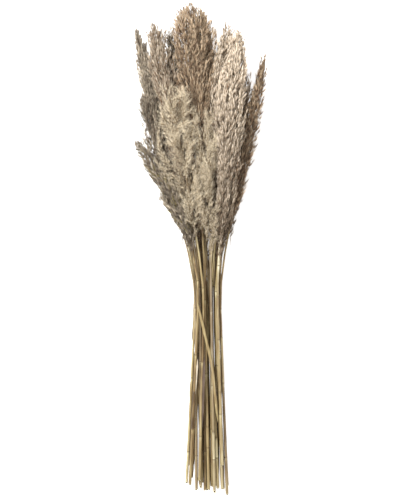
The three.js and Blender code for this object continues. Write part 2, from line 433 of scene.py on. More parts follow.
# %% Scales and hairs
class SmallPart:
    """Collects the faces of one spikelet, which stands on a short stalk and points along +Z."""

    def __init__(self, foot):
        self.points, self.faces = [], []
        self.values = {"place": [], "side": [], "tint": []}
        self.foot = np.array(foot)

    def add(self, points, faces, place, side, tint):
        first = len(self.points)
        self.points += points
        self.faces += [tuple(first + i for i in face) for face in faces]
        for key, values in (("place", place), ("side", side), ("tint", [tint] * len(points))):
            self.values[key] += values

    @staticmethod
    def directions(lean, turn):
        """The way a part points, sideways to it, and its outer face."""
        out = np.array([math.cos(turn), math.sin(turn), 0])
        aside = np.array([-math.sin(turn), math.cos(turn), 0])
        up = np.array([0, 0, 1.0])
        return (math.cos(lean) * up + math.sin(lean) * out, aside,
                math.cos(lean) * out - math.sin(lean) * up)

    def scale(self, start, length, width, lean, turn, tint, bow):
        """A spindle that starts this far up the spikelet and leans out by an angle."""
        way, aside, face = self.directions(lean, turn)
        root = self.foot + (0, 0, start)
        middle = root + 0.42 * length * way + 0.4 * bow * length * face
        ring = [middle + width / 2 * aside, middle - width / 2 * aside, middle + 0.42 * width * face]
        low, high = SCALE_BAND
        self.add([root, *ring, root + length * way],
                 [(0, 1, 2), (0, 2, 3), (0, 3, 1), (4, 2, 1), (4, 3, 2), (4, 1, 3)],
                 [low] + [low + 0.42 * (high - low)] * 3 + [high], [0, 1, -1, 0, 0], tint)

    def needle(self, root, length, lean, turn, tint, radius, band):
        """A hair or a stalk: a triangle that runs out to a point."""
        way, aside, face = self.directions(lean, turn)
        ring = [root + radius * aside, root - radius * aside, root + radius * face]
        low, high = band
        self.add([*ring, root + length * way], [(0, 1, 2), (3, 1, 0), (3, 2, 1), (3, 0, 2)],
                 [low, low, low + 0.01, high], [1, -1, 0, 0], tint)

    def build(self, name):
        print(name, len(self.faces), "faces")
        return bpy.data.objects.new(name, new_mesh(name, self.points, [], self.faces, self.values))


# %% [markdown]
# ## Whole spikelets
#
# Three habits are enough, slender, plump, and silky with hairs that stand out, and three patterns of
# each, because every copy is turned, tilted and scaled.

# %% Spikelets
HAIR_RADIUS = 0.19 * MM
STALK_RADIUS = 0.2 * MM
STALK_ASIDE, STALK_UP = 2.4 * MM, 2.2 * MM  # where the stalk carries the spikelet's foot
SCALE_STEP = 0.6 * MM
HAIR_TURN = 2.4


def make_spikelet(name, seed, scales, hairs, spread, sizes, hair_spread=0.4, bow=0.12):
    """One spikelet. The sizes are a scale's length, a hair's length and a scale's width, in mm."""
    rng = np.random.default_rng(seed)
    scale_length, hair_length, width = (size * MM for size in sizes)
    part = SmallPart((STALK_ASIDE, 0, STALK_UP))
    part.needle(np.zeros(3), 1.1 * math.hypot(STALK_ASIDE, STALK_UP), math.atan2(STALK_ASIDE, STALK_UP),
                0, 0, STALK_RADIUS, TWIG_BAND)
    for i in range(scales):
        part.scale(start=i * SCALE_STEP, length=scale_length * rng.uniform(0.75, 1.1),
                   width=width * rng.uniform(0.85, 1.15), lean=spread * rng.uniform(0.35, 1.0),
                   turn=math.pi * (i % 2) + rng.normal(0, 0.5), tint=rng.uniform(-1, 1), bow=bow)
    for i in range(hairs):
        root = part.foot + (0, 0, rng.uniform(0.5, 3) * MM)
        part.needle(root, hair_length * rng.uniform(0.7, 1.15), hair_spread * rng.uniform(0.2, 1.0),
                    HAIR_TURN * i + rng.uniform(0, 1), rng.uniform(-0.5, 1), HAIR_RADIUS, HAIR_BAND)
    return part.build(name)


SPIKELETS = {
    "slender": [make_spikelet("slender a", 1, 3, 4, 0.14, (14, 19, 1.8), hair_spread=0.32),
                make_spikelet("slender b", 2, 3, 4, 0.24, (13, 17, 1.6), hair_spread=0.42),
                make_spikelet("slender c", 3, 3, 2, 0.10, (17, 20, 1.9), hair_spread=0.3)],
    "plump": [make_spikelet("plump a", 7, 4, 2, 0.16, (14, 15, 1.7)),
              make_spikelet("plump b", 8, 4, 2, 0.22, (12, 14, 1.6)),
              make_spikelet("plump c", 9, 3, 2, 0.12, (16, 16, 1.9))],
    "silky": [make_spikelet("silky a", 4, 2, 7, 0.4, (8, 15, 1.3), hair_spread=0.6, bow=0.25),
              make_spikelet("silky b", 5, 2, 7, 0.5, (7, 13, 1.2), hair_spread=0.8, bow=0.3),
              make_spikelet("silky c", 6, 3, 7, 0.3, (9, 17, 1.1), hair_spread=0.5, bow=0.25)],
}

# %% [markdown]
# ## The plume tree
#
# Each plume starts as bare branches: lines of points that say how thick the twig is there, how bleached,
# and how big its spikelets are. One path of the tree sweeps a small triangle along every branch. The
# other steps along the finest branches and sets a spikelet at each step, turned, tilted and scaled at
# random. Then both are laid on the colour chart. Nodes suit one rule that is repeated some thirty
# thousand times.

# %% Build the plume tree
FULL_TURN = 2 * math.pi


def sweep_twigs(tree, branches):
    """A triangle swept along every branch, with its place on the chart."""
    way = tree.add("GeometryNodeSplineParameter")
    marked = tree.store(branches, "along", way.outputs["Factor"])
    triangle = tree.add("GeometryNodeCurvePrimitiveCircle", {"Resolution": 3, "Radius": 1.0})
    around = tree.add("GeometryNodeSplineParameter")
    profile = tree.store(triangle, "around", around.outputs["Factor"])
    twigs = tree.add("GeometryNodeCurveToMesh", {
        "Curve": marked, "Profile Curve": profile, "Scale": tree.field("thick"), "Fill Caps": True})
    circle = tree.math("MULTIPLY", tree.field("around"), FULL_TURN)
    low, high = TWIG_BAND
    place = tree.math("MULTIPLY_ADD", tree.field("along"), high - low, low)
    place = tree.math("MULTIPLY_ADD", tree.math("SINE", circle), 0.006, place)
    twigs = tree.store(twigs, "place", place)
    twigs = tree.store(twigs, "side", tree.math("COSINE", circle))
    return tree.store(twigs, "tint", 0.0)


def set_spikelets(tree, given, branches):
    """A spikelet at each step along the branches that bear them."""
    seed = given["Seed"]
    bearing = tree.math("GREATER_THAN", tree.field("bears"), 0.5)
    finest = tree.add("GeometryNodeSeparateGeometry", {"Geometry": branches, "Selection": bearing},
                      domain="CURVE")
    steps = tree.add("GeometryNodeResampleCurve",
                     {"Curve": finest, "Length": given["Spikelet spacing"]}, mode="LENGTH")
    kinds = tree.add("GeometryNodeJoinGeometry")
    for label in ("Spikelet c", "Spikelet b", "Spikelet a"):
        info = tree.add("GeometryNodeObjectInfo", {"Object": given[label], "As Instance": True})
        wire(info.outputs["Geometry"], kinds.inputs[0])
    tangent = tree.add("GeometryNodeInputTangent")
    facing = tree.add("FunctionNodeAlignRotationToVector", {"Vector": tangent}, axis="Z")
    facing = tree.turned(facing, "Z", tree.chance(0.0, FULL_TURN, seed, 1))
    lean = tree.math("MULTIPLY", tree.chance(0.15, 1.0, seed, 2), given["Tilt"])
    facing = tree.turned(facing, "X", lean)
    facing = tree.turned(facing, "Z", tree.chance(0.0, FULL_TURN, seed, 3))
    size = tree.math("MULTIPLY", tree.chance(0.72, 1.22, seed, 4), given["Spikelet size"])
    size = tree.math("MULTIPLY", size, tree.field("size"))
    kind = tree.add("FunctionNodeRandomValue", {"Min": 0, "Max": 2, "Seed": seed}, data_type="INT")
    spikelets = tree.add("GeometryNodeInstanceOnPoints", {
        "Points": steps, "Instance": kinds, "Pick Instance": True, "Instance Index": kind,
        "Rotation": facing, "Scale": size})
    own_tone = tree.math("MULTIPLY_ADD", tree.chance(-1.0, 1.0, seed, 5),
                         given["Tone variation"], tree.field("tone"))
    return tree.store(spikelets, "tone", own_tone, domain="INSTANCE")


def lay_on_chart(tree, plume):
    """Stores the UV map: the tone across, kept off the rusty end, and the place up."""
    across = tree.math("MULTIPLY_ADD", tree.field("tint"), 0.09, tree.field("tone"))
    plain = tree.math("GREATER_THAN", tree.field("tone"), RUSTY_TONE / 2)
    darkest = tree.math("MULTIPLY_ADD", plain, RUSTY_BELOW + 0.02, 0.02)
    across = tree.add("ShaderNodeClamp", {"Value": across, "Min": darkest, "Max": 0.97})
    across = tree.math("MULTIPLY_ADD", tree.field("side"), 0.008, across)
    spot = tree.add("ShaderNodeCombineXYZ", {"X": across, "Y": tree.field("place")})
    return tree.store(plume, CHART, spot, domain="CORNER", data_type="FLOAT2")


def build_plume_tree():
    tree, given, out = new_tree("dress a plume", {
        "Spikelet spacing": "Float", "Spikelet size": "Float", "Tilt": "Float", "Tone variation": "Float",
        "Spikelet a": "Object", "Spikelet b": "Object", "Spikelet c": "Object", "Finish": "Material",
        "Seed": "Int"})
    branches = tree.add("GeometryNodeMeshToCurve", {"Mesh": given["Geometry"]})
    twigs = sweep_twigs(tree, branches)
    spikelets = set_spikelets(tree, given, branches)
    plume = tree.add("GeometryNodeJoinGeometry", {0: twigs})
    wire(spikelets, plume.inputs[0])
    plume = lay_on_chart(tree, tree.add("GeometryNodeRealizeInstances", {"Geometry": plume}))
    plume = tree.add("GeometryNodeSetMaterial", {"Geometry": plume, "Material": given["Finish"]})
    wire(plume, out.inputs[0])
    return tree


plume_tree = build_plume_tree()
print("plume tree:", len(plume_tree.data.nodes), "nodes")

# %% [markdown]
# ## Lines for the trees
#
# A tree dresses lines, so each branch is written down as a chain of points with edges between them. What
# the tree has to know at a point goes with it as a named value.

# %% Lines of points
class Lines:
    """Lines of points, with the same named values at each."""

    def __init__(self, *keys):
        self.points, self.edges = [], []
        self.values = {key: [] for key in keys}

    def add(self, points, **values):
        first = len(self.points)
        self.points += list(points)
        self.edges += [(i, i + 1) for i in range(first, first + len(points) - 1)]
        for key, column in self.values.items():
            column += list(np.broadcast_to(values[key], len(points)))

    def mesh(self, name):
        return new_mesh(name, self.points, self.edges, [], self.values)


# %% [markdown]
# ## Habits
#
# No two plumes branch alike: the tall one is a dense dome, the outer ones are pointed, the silky ones are
# full of loose hairs. A habit is a set of numbers for the growing below. One is written out in full, and
# the others say only what differs.

# %% Habits of the plumes
HABIT = dict(
    skin_each=26,  # mm2 of skin for each spikelet
    per_branch=34,  # spikelets on a long branch
    low=1.0,  # over 1 the branches gather low in the plume, under 1 high
    crown=0.06,  # the share of branches that are moved up to the tip
    skirt=0.14,  # how far below the foot branches may start, as a share of the plume
    reach=(0.3, 0.27, 0.16),  # branch lengths at the foot, middle and tip, as shares of the plume
    inner=0.3, outer=1.06,  # the share that ends deep inside, and how far out the others may end
    open=2.2,  # how soon a branch leaves the stalk
    upward=0.0,  # how much the branches crowd onto the upper side
    dome=0.2, dome_length=60 * MM,  # how much the tip is widened, or narrowed under 0, and over what length
    nod=0.0, tip_gap=7 * MM,  # how far the tip leans to +X, and what it leaves free for hairs
    tone=0.50, patchy=0.11,  # from dark to bleached, and how much branches differ
    dark_foot=0.32, fade=0.3,  # how much darker the foot is, and how much paler branch ends are
    rusty=0.006, variation=0.42,  # the share of rusty shoots, and how much spikelets differ
    shoot=20 * MM, shoot_gap=8 * MM,  # a shoot's length, and the step between shoots
    spread=0.26, lean=0.16,  # how far shoots stand off their branch, and branches off straight
    lift=0.22,  # how far shoots stand out of the plume
    wisps=0.07, thin=0.25,  # the share of loose wisps, and of shoots left out near the tip
    spikelets="slender", spacing=7 * MM, size=1.0, tilt=0.2)
LIGHT = dict(HABIT, spikelets="plump", tone=0.54, spacing=6.5 * MM)
SILKY = dict(HABIT, spikelets="silky", tilt=0.5, spacing=4.6 * MM, tone=0.76, per_branch=84, patchy=0.10,
             shoot=30 * MM, spread=0.4, lean=0.38, fade=0.4, variation=0.22, outer=1.15, dark_foot=0.0,
             wisps=0.12, lift=0.4, dome=0.3)
TOP = dict(skin_each=13.5, upward=0.5)
MIDDLE = dict(skin_each=18, upward=0.3)
HABITS = {
    "plume_01": dict(HABIT, skin_each=13, low=1.2, tone=0.42),
    "plume_02": dict(HABIT, skin_each=20, low=1.3),
    "plume_04": dict(LIGHT, skirt=0.18),
    "plume_05": dict(HABIT, skirt=0.26),
    "plume_06": dict(HABIT, skin_each=11, upward=0.3, thin=0.0, tone=0.42, dome=-0.5),
    "plume_07": dict(HABIT, **MIDDLE, tone=0.42),
    "plume_08": dict(LIGHT, **MIDDLE),
    "plume_09": dict(HABIT, **MIDDLE, tone=0.42),
    "plume_10": dict(LIGHT, **MIDDLE, tone=0.42, skirt=0.25),
    "plume_11": dict(HABIT, skin_each=8, upward=0.5, tone=0.30, thin=0.0),
    "plume_12": dict(HABIT, skin_each=9.5, upward=0.5, tone=0.22, variation=0.34, dome=-0.3),
    "plume_13": dict(HABIT, skin_each=11.5, upward=0.5, tone=0.52, low=0.6, thin=0.0, outer=1.1,
                     dome=0.6, dome_length=110 * MM, nod=-0.15, wisps=0.02, crown=0.14),
    "plume_14": dict(LIGHT, **TOP, tone=0.56, dark_foot=0.5),
    "plume_15": dict(LIGHT, **TOP, tone=0.36, skirt=0.26, dark_foot=0.4),
    "plume_16": dict(HABIT, skin_each=10, upward=0.5, tone=0.52, thin=0.0, dome=-0.5),
    "plume_17": dict(HABIT, skin_each=5, low=1.2, upward=0.3, patchy=0.14, spread=0.4, outer=1.25,
                     rusty=0.1, tone=0.46, thin=0.1, dome=0.1, wisps=0.05, crown=0.12),
    "plume_18": dict(SILKY, **TOP),
    "plume_19": dict(SILKY, **TOP),
    "plume_20": dict(LIGHT, **TOP, tone=0.76, dark_foot=0.55, variation=0.3, spacing=6 * MM, dome=-0.1),
    "plume_light": LIGHT,
}
print(len(HABITS), "habits")

# %% [markdown]
# ## Branches
#
# Long branches leave the stalk in a spiral, a golden angle apart, lean out until they near the skin and
# then run along with the plume. Each is laid on the plume's map. Those that end deeper inside get a
# darker tone: painted shade, for the shade inside a dense plume.

# %% Grow the stalk and the long branches
GOLDEN_TURN = 0.381966
STALK_POINTS, TOP_POINTS, BRANCH_POINTS, SHOOT_POINTS = 26, 8, 12, 4
STALK_THICK = [1.55 * MM, 0.25 * MM]
BRANCH_THICK = (0.42, 0.12)
DARK_BELOW = 0.6  # where the darker foot ends, as a share of the plume


def laid(room, habit, ys, turns, depths):
    """Points in the room, which the habit's dome widens or narrows towards the tip."""
    swollen = np.clip((ys - room.tip + habit["dome_length"]) / habit["dome_length"], 0, 1)
    return room.place(ys, turns, depths * (1 + habit["dome"] * swollen))


def grow_stalk(grown, room, habit, highest):
    """The stalk, and the thin end of it that bears spikelets."""
    ease = np.linspace(0, 1, STALK_POINTS)
    stalk = room.place(room.base + ease * room.length * 0.97, 0, 0)
    grown.add(stalk, thick=np.interp(ease, [0, 1], STALK_THICK), tone=0.35, size=1, bears=0)
    top = room.place(np.linspace(room.tip - 0.2 * room.length, highest, TOP_POINTS), 0, 0)
    top[:, 0] += 15 * MM * habit["nod"] * np.linspace(0, 1, TOP_POINTS) ** 2
    grown.add(top, thick=STALK_THICK[1], tone=habit["tone"], size=0.8, bears=1)


def grow_branch(grown, room, rng, habit, highest, number, count):
    """One long branch. Returns it with what its shoots need to know."""
    share = ((number + rng.uniform(0, 1)) / count) ** habit["low"]
    middle = (room.height_below(share) - room.base) / room.length
    if rng.uniform() < habit["crown"]:
        middle = rng.uniform(0.84, 1.0)
    reach = np.interp(middle, [0, 0.5, 1], habit["reach"]) * rng.uniform(0.75, 1.2)
    start = max(-habit["skirt"], middle - 0.5 * reach)
    end = min(middle + 0.5 * reach, (highest - room.base) / room.length - 0.06 * rng.uniform())
    turn = number * GOLDEN_TURN + rng.uniform(-0.04, 0.04)
    turn -= habit["upward"] * math.sin(2 * math.pi * turn) / (2 * math.pi)
    inner = rng.uniform() < habit["inner"]
    depth = rng.uniform(0.3, 0.7) if inner else rng.uniform(0.74, habit["outer"])
    # Painted shade: a branch that ends deeper inside gets a darker tone, for the shade inside the plume.
    tone = habit["tone"] + rng.normal(0, habit["patchy"]) + 0.7 * (depth - 0.92)
    tone -= habit["dark_foot"] * max(0.0, 1 - middle / DARK_BELOW)
    lean = rng.normal(0, habit["lean"])
    t = np.linspace(0, 1, BRANCH_POINTS)
    ys = room.base + room.length * (start + (end - start) * t)
    turns = turn + (0.2 * lean + rng.normal(0, 0.03)) * t
    opening = habit["open"] + 4 * min(1.0, max(0.0, 1 - start / 0.12))
    line = laid(room, habit, ys, turns, depth * (1 - (1 - t) ** opening))
    grown.add(line, thick=np.linspace(*BRANCH_THICK, BRANCH_POINTS) * MM, tone=0.3, size=1, bears=0)
    along = np.gradient(line, axis=0)
    along /= np.linalg.norm(along, axis=1)[:, None]
    outward = line - room.place(ys, 0, 0) + 1e-6
    outward /= np.linalg.norm(outward, axis=1)[:, None]
    return dict(line=line, along=along, outward=outward, t=t, tone=tone, lean=lean,
                length=(end - start) * room.length)


# %% [markdown]
# ## Shoots
#
# Short shoots leave each long branch left and right and bear the spikelets. Laid on the map they would
# follow the skin and look combed. Straight ones, which stand off their branch by an angle, give feathery
# tufts. A few longer ones are loose wisps.

# %% Grow the shoots
TIP_ZONE = 60 * MM  # where shoots get sparser and finer towards the tip
FOOT_ZONE = 35 * MM  # where they get sparser towards the foot
FOOT_THIN = 0.6
WISP_LIFT = (0.3, 0.6)
DROOP = 0.12


def grow_shoots(grown, room, rng, habit, highest, branch):
    lean = branch["lean"]
    shoots = max(3, int(branch["length"] / habit["shoot_gap"]))
    for j in range(shoots):
        at = 0.12 + 0.86 * (j + rng.uniform(0, 1)) / shoots
        foot, way, out = (np.array([np.interp(at, branch["t"], column) for column in branch[key].T])
                          for key in ("line", "along", "outward"))
        near_tip = np.clip((foot[1] - room.tip + TIP_ZONE) / TIP_ZONE, 0, 1)
        near_foot = np.clip(1 - (foot[1] - room.base) / FOOT_ZONE, 0, 1)
        if rng.uniform() < max(habit["thin"] * near_tip, FOOT_THIN * near_foot):
            continue
        wisp = rng.uniform() < habit["wisps"]
        shoot = habit["shoot"] * rng.uniform(0.65, 1.2) * (1 - 0.35 * at) * (1.3 if wisp else 1)
        spread = lean + rng.uniform(0.04, habit["spread"]) * (1 if j % 2 else -1)
        lift = rng.uniform(*WISP_LIFT) if wisp else rng.uniform(0.0, habit["lift"])
        way = way + spread * np.cross(way, out) + lift * out
        way[0] += habit["nod"] * near_tip
        way /= np.linalg.norm(way)
        shoot = min(shoot, max(highest - foot[1], 3 * MM) / max(way[1], 0.3))
        s = np.linspace(0, 1, SHOOT_POINTS)[:, None]
        path = foot + shoot * (s * way - DROOP * s * s * out)
        tone = branch["tone"] + habit["fade"] * (at - 0.45) + rng.normal(0, 0.6 * habit["patchy"])
        if rng.uniform() < habit["rusty"]:
            tone = RUSTY_TONE
        grown.add(path, thick=np.linspace(0.34 if wisp else 0.24, 0.14, SHOOT_POINTS) * MM, tone=tone,
                  size=(1.05 - 0.2 * at) * (1 - 0.4 * near_tip), bears=1)


def grow_branches(room, rng, habit):
    """The bare lines of a whole plume."""
    grown = Lines("thick", "tone", "size", "bears")
    highest = room.tip - habit["tip_gap"]
    grow_stalk(grown, room, habit, highest)
    wanted = room.area / (habit["skin_each"] * MM * MM)
    count = int(wanted / habit["per_branch"])
    for number in range(count):
        branch = grow_branch(grown, room, rng, habit, highest, number, count)
        grow_shoots(grown, room, rng, habit, highest, branch)
    return grown


# %% [markdown]
# ## Dressing, and settling on the table
#
# A modifier runs the tree on the lines, and the result is kept as a plain mesh. Loose ends of a real
# plume bend where they meet the table. Simulating thirty thousand spikelets would be slow, so their
# points are bent by a rule: the nearer the table, the flatter.

# %% Dress a piece, and settle it
TABLE_SOFT = 4 * MM  # below this height things start to press flat
LOOSE_HAIR = 9 * MM  # how far loose ends may stand outside the CAD box
BEND_ZONE = 3 * MM  # how far inside the box they start to bend back


def rest_on_table(points):
    """Presses what would reach the table flat against it, without crossing it."""
    z = points[:, 2]
    points[:, 2] = np.where(z < TABLE_SOFT, TABLE_SOFT * np.exp(z / TABLE_SOFT - 1), z)


def gather_in(points):
    """Bends loose ends back that would stand too far off at the sides or the top."""
    for axis in (0, 2):
        value = points[:, axis]
        limit = cad_high[axis] - BEND_ZONE
        over = np.maximum(np.abs(value) - limit, 0)
        room_left = LOOSE_HAIR + BEND_ZONE
        bent = np.sign(value) * (limit + room_left * (1 - np.exp(-over / room_left)))
        points[:, axis] = np.where(over > 0, bent, value)


def move_points(mesh, points):
    mesh.vertices.foreach_set("co", points.ravel())
    mesh.update()


def dress(name, mesh, tree, settings):
    """Runs a node tree on a mesh and returns the result as a plain object."""
    source = put_in_scene(name + " lines", mesh)
    modifier = source.modifiers.new("dress", "NODES")
    modifier.node_group = tree.data
    for item in tree.data.interface.items_tree:
        if item.in_out == "INPUT" and item.name in settings:
            modifier[item.identifier] = settings[item.name]
    seen = source.evaluated_get(bpy.context.evaluated_depsgraph_get())
    result = bpy.data.meshes.new_from_object(seen)
    result.name = name
    bpy.data.objects.remove(source)
    return put_in_scene(name, result)


def triangles(mesh):
    return sum(len(face.vertices) - 2 for face in mesh.polygons)


# %% [markdown]
# ## Twenty plumes
#
# Each plume has its own seed, so no two are alike and every run gives the same ones.

# %% Grow every plume
slot_of = {s["node"]: s["material_slot"] for s in frame["record"]["subparts"]}
total = 0
for number, (name, room) in enumerate(rooms.items()):
    slot = slot_of[name]
    habit = HABITS.get(name, HABITS.get(slot, HABIT))
    lines = grow_branches(room, np.random.default_rng(100 + number), habit).mesh(name + " lines")
    kinds = SPIKELETS[habit["spikelets"]]
    piece = dress(name + "_grown", lines, plume_tree, {
        "Spikelet spacing": habit["spacing"], "Spikelet size": habit["size"], "Tilt": habit["tilt"],
        "Tone variation": habit["variation"], "Spikelet a": kinds[0], "Spikelet b": kinds[1],
        "Spikelet c": kinds[2], "Finish": plume_finishes[slot], "Seed": 10 * number + 7})
    points = points_of(piece.data)
    rest_on_table(points)
    gather_in(points)
    move_points(piece.data, points)
    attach(piece, "root")
    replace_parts(piece, name)
    faces = triangles(piece.data)
    total += faces
    print(name, faces, "triangles", (1000 * points.min(0)).round(), (1000 * points.max(0)).round())
print("all plumes:", total, "triangles")

# %% [markdown]
# ## Straw
#
# A dried culm is yellow brown with fine streaks, broad paler and darker runs, small mould spots and a
# dark line at each joint, and some have weathered grey. A flat colour would look like plastic pipe. Noise
# drawn out along the culms makes the streaks, and values that each culm carries say how pale, grey and
# marked it is there. The cut face is pale, and the bore behind it is painted dark: painted shade in the
# hollow.

# %% Straw finish
def streaks(tree, place, across, along, detail):
    """Noise drawn out along the bundle: sizes in metres."""
    scaled = tree.add("ShaderNodeMapping", {
        "Vector": place, "Scale": (1 / across, 1 / along, 1 / across)})
    return tree.add("ShaderNodeTexNoise", {"Vector": scaled, "Scale": 1.0, "Detail": detail})


def groove(tree, shader, height, strength, depth):
    bump = tree.add("ShaderNodeBump", {"Height": height, "Strength": strength, "Distance": depth})
    wire(bump, shader.inputs["Normal"])


def straw_finish():
    finish, tree, shader = new_finish("straw", 0.5, Specular_IOR_Level=0.35, Coat_Weight=0.08,
                                      Coat_Roughness=0.4)
    place = tree.add("ShaderNodeTexCoord").outputs["Object"]
    fine = streaks(tree, place, 0.9 * MM, 45 * MM, 3.0)
    broad = streaks(tree, place, 5 * MM, 40 * MM, 2.0)
    spots = streaks(tree, place, 1.6 * MM, 3.5 * MM, 2.0)
    worn = tree.carried("shade")
    for noise, amount in ((fine, 0.5), (broad, 0.75)):
        worn = tree.math("MULTIPLY_ADD", tree.math("SUBTRACT", noise, 0.5), amount, worn)
    yellow = tree.ramp(worn, [
        (0.0, (46, 32, 16)), (0.22, (90, 69, 40)), (0.45, (128, 107, 72)), (0.62, (150, 133, 93)),
        (0.82, (174, 160, 121)), (1.0, (214, 204, 168))])
    grey = tree.ramp(worn, [
        (0.0, (42, 31, 20)), (0.22, (82, 66, 48)), (0.45, (116, 99, 78)), (0.62, (134, 120, 98)),
        (0.82, (159, 148, 124)), (1.0, (206, 200, 180))])
    colour = tree.mix(tree.carried("weathered"), yellow, grey)
    speck = tree.add("ShaderNodeMapRange", {
        "Value": spots, "From Min": 0.66, "From Max": 0.76, "To Min": 0, "To Max": 0.55})
    colour = tree.mix(speck, colour, srgb(88, 66, 42))
    colour = tree.mix(tree.carried("mark"), colour, srgb(66, 48, 30))
    raw = tree.carried("raw")
    # Painted shade: the bore's walls get a dark brown, for the shade inside the hollow end; the cut face
    # stays pale.
    inside = tree.add("ShaderNodeMapRange", {"Value": raw, "From Min": 1, "From Max": 2})
    cut_colour_and_bore_shade = tree.mix(inside, srgb(226, 212, 174), srgb(70, 54, 34))
    colour = tree.mix(tree.math("GREATER_THAN", raw, 0.5), colour, cut_colour_and_bore_shade)
    wire(colour, shader.inputs["Base Color"])
    gloss = tree.add("ShaderNodeMapRange", {"Value": fine, "To Min": 0.36, "To Max": 0.66})
    wire(gloss, shader.inputs["Roughness"])
    groove(tree, shader, fine, 0.5, 0.25 * MM)
    return finish


straw = straw_finish()
print("straw finish:", len(straw.node_tree.nodes), "nodes")

# %% [markdown]
# ## The culm tree
#
# A row of cylinders would need a bevel and a weld at every joint. Instead one tree sweeps a circle along
# the culm's line, as thick as the line says, so joints and sleeves are only changes in thickness and
# colour. Then it makes the cut end hollow: it insets the low end face and pushes its middle in, and marks
# the cut face and the bore, whose walls the straw finish paints dark as painted shade.

# %% Build the culm tree
def build_culm_tree():
    tree, given, out = new_tree("sweep a culm", {
        "Sides": "Int", "Bore share": "Float", "Bore depth": "Float", "Cut below": "Float",
        "Finish": "Material"})
    line = tree.add("GeometryNodeMeshToCurve", {"Mesh": given["Geometry"]})
    circle = tree.add("GeometryNodeCurvePrimitiveCircle", {"Resolution": given["Sides"], "Radius": 1.0})
    straw_body = tree.add("GeometryNodeCurveToMesh", {
        "Curve": line, "Profile Curve": circle, "Scale": tree.field("thick"), "Fill Caps": True})
    smooth = tree.add("GeometryNodeSetShadeSmooth", {"Geometry": straw_body, "Shade Smooth": True})
    # The cut face is the many-sided one at the low end.
    corners = tree.add("GeometryNodeInputMeshFaceNeighbors").outputs["Vertex Count"]
    place = tree.add("GeometryNodeInputPosition")
    height = tree.add("ShaderNodeSeparateXYZ", {"Vector": place}).outputs["Y"]
    many = tree.math("GREATER_THAN", corners, 4.5)
    low = tree.math("LESS_THAN", height, given["Cut below"])
    end_face = tree.math("MULTIPLY", many, low)
    inset = tree.add("GeometryNodeExtrudeMesh", {
        "Mesh": smooth, "Selection": end_face, "Offset Scale": 0.0, "Individual": False})
    rim = tree.add("GeometryNodeScaleElements", {
        "Geometry": inset.outputs["Mesh"], "Selection": inset.outputs["Top"], "Scale": given["Bore share"]})
    side_mark = tree.store(rim, "raw", inset.outputs["Side"], domain="FACE")
    way_in = tree.add("ShaderNodeCombineXYZ", {"Y": given["Bore depth"]})
    bore = tree.add("GeometryNodeExtrudeMesh", {
        "Mesh": side_mark, "Selection": inset.outputs["Top"], "Offset": way_in, "Offset Scale": 1.0,
        "Individual": False})
    # The bore's walls and floor are marked 2, which the straw finish paints dark as painted shade.
    inner = tree.math("MAXIMUM", bore.outputs["Side"], bore.outputs["Top"])
    marked = tree.store(bore.outputs["Mesh"], "raw", 2.0, domain="FACE", Selection=inner)
    real = tree.add("GeometryNodeRealizeInstances", {"Geometry": marked})
    dressed = tree.add("GeometryNodeSetMaterial", {"Geometry": real, "Material": given["Finish"]})
    wire(dressed, out.inputs[0])
    return tree


culm_tree = build_culm_tree()
print("culm tree:", len(culm_tree.data.nodes), "nodes")

# %% [markdown]
# ## Reading a culm
#
# A reed culm is straight from joint to joint and a little swollen at each. The CAD solid's rings say all
# of that: their middles give the line, a ring that is wider than its neighbours is a joint, and the small
# rings near the cut end are the bore.

# %% Read a culm
BULGE = 1.07  # how much wider than its neighbours a joint's ring is
BORE_WITHIN = 40 * MM


class Culm:
    """A culm's middle line, thickness, joints and bore, read from its CAD solid."""

    def __init__(self, node):
        self.ys, self.middles, self.radii = [], [], []
        for y, corners in corners_by_height(node):
            middle = corners.mean(0)
            reach = np.hypot(*(corners - middle).T)
            if self.ys and reach.max() < 0.75 * self.radii[0] and y - self.ys[0] < BORE_WITHIN:
                self.bore_depth = y - self.ys[0]
                continue
            if not self.ys:
                self.bore = reach.min()
            self.ys.append(y)
            self.middles.append(middle)
            self.radii.append(reach.max())
        self.ys, self.middles, self.radii = map(np.array, (self.ys, self.middles, self.radii))
        bulge = self.radii[1:-1] > BULGE * np.maximum(self.radii[:-2], self.radii[2:])
        self.joints = self.ys[1:-1][bulge]
        self.cut, self.top = self.ys[0], self.ys[-1]

    def middle(self, y):
        return np.stack([np.interp(y, self.ys, self.middles[:, 0]), y,
                         np.interp(y, self.ys, self.middles[:, 1])], axis=-1)

    def radius(self, y):
        slim = ~np.isin(self.ys, self.joints)
        return np.interp(y, self.ys[slim], self.radii[slim])


# %% [markdown]
# ## The line of a culm
#
# Some leaf sheaths are still there, as a thin sleeve of another colour from a joint up to an edge. The
# line gets more points around joints and sleeve ends, and at each point the thickness, how pale it is,
# how dark its mark is and how weathered. The foot was cut last and is still pale.

# %% Draw a culm's line
CULM_STEP = 7 * MM
JOINT_DETAIL = np.array([-5, -2.4, -1.2, -0.5, 0, 0.5, 1.2, 2.4, 5]) * MM
SLEEVE_THICKNESS = 0.28 * MM
SLEEVE_CHANCE = 0.6
PALE_FOOT, PALE_FOOT_LENGTH = 0.14, 120 * MM
PALE_TOP, PALE_TOP_FROM, PALE_TOP_LENGTH = 0.16, -90 * MM, 80 * MM


